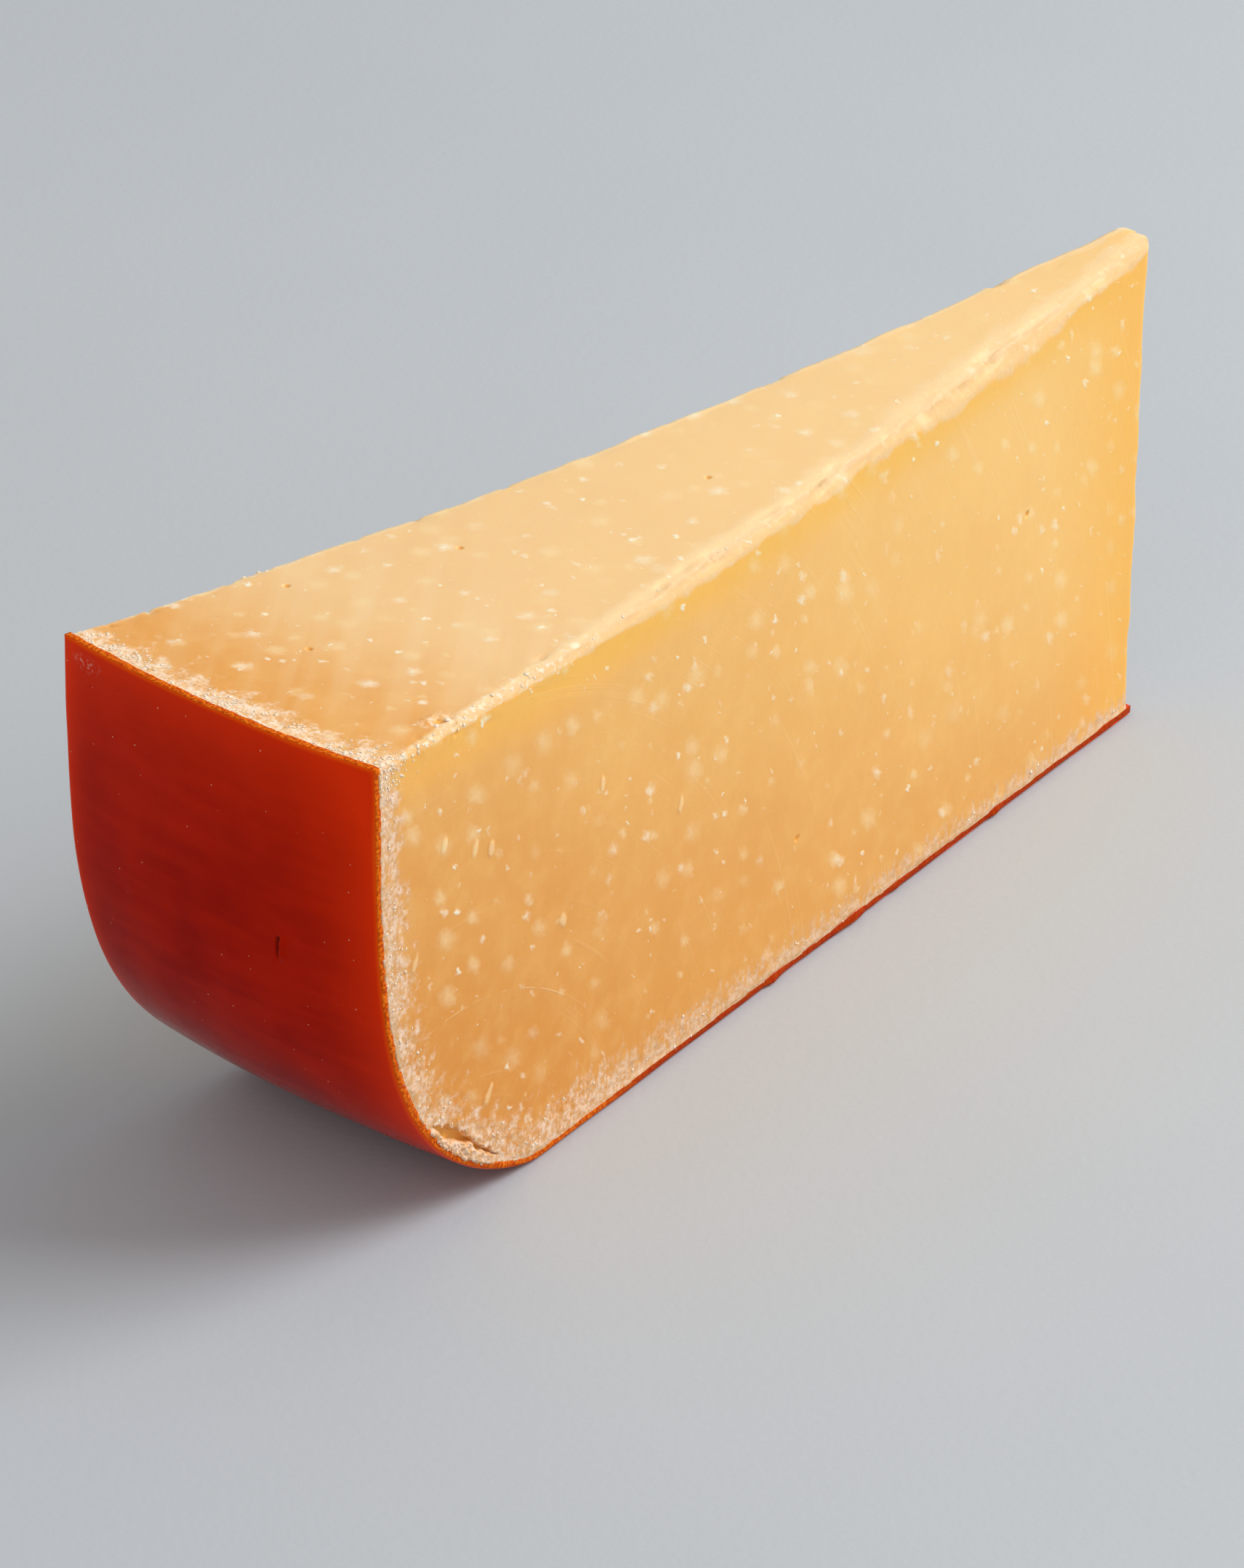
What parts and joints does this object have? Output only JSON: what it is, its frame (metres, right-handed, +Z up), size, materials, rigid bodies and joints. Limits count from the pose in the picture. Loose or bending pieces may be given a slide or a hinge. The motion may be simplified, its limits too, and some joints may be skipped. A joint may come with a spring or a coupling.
{
  "type": "wedge of cheese",
  "caption": "Tall narrow wedge of aged hard cheese with a glossy red coating over its curved side and flat underside; it rests on that underside.",
  "frame": {"origin": "middle of the wedge's box, on the surface that its underside rests on", "axes": "+X from the coated side to the tip, +Y across the wedge's width, +Z up"},
  "size_m": [0.162, 0.0474, 0.065],
  "materials": {
    "cheese_paste": "waxy translucent ochre cheese paste, crumbly at its edges, with pale crystals",
    "red_coating": "glossy deep red coating, thin and slightly translucent at its cut edges"
  },
  "bodies": {
    "root": {"cheese_paste": "cheese_paste", "red_coating": "red_coating"}
  },
  "joints": []
}
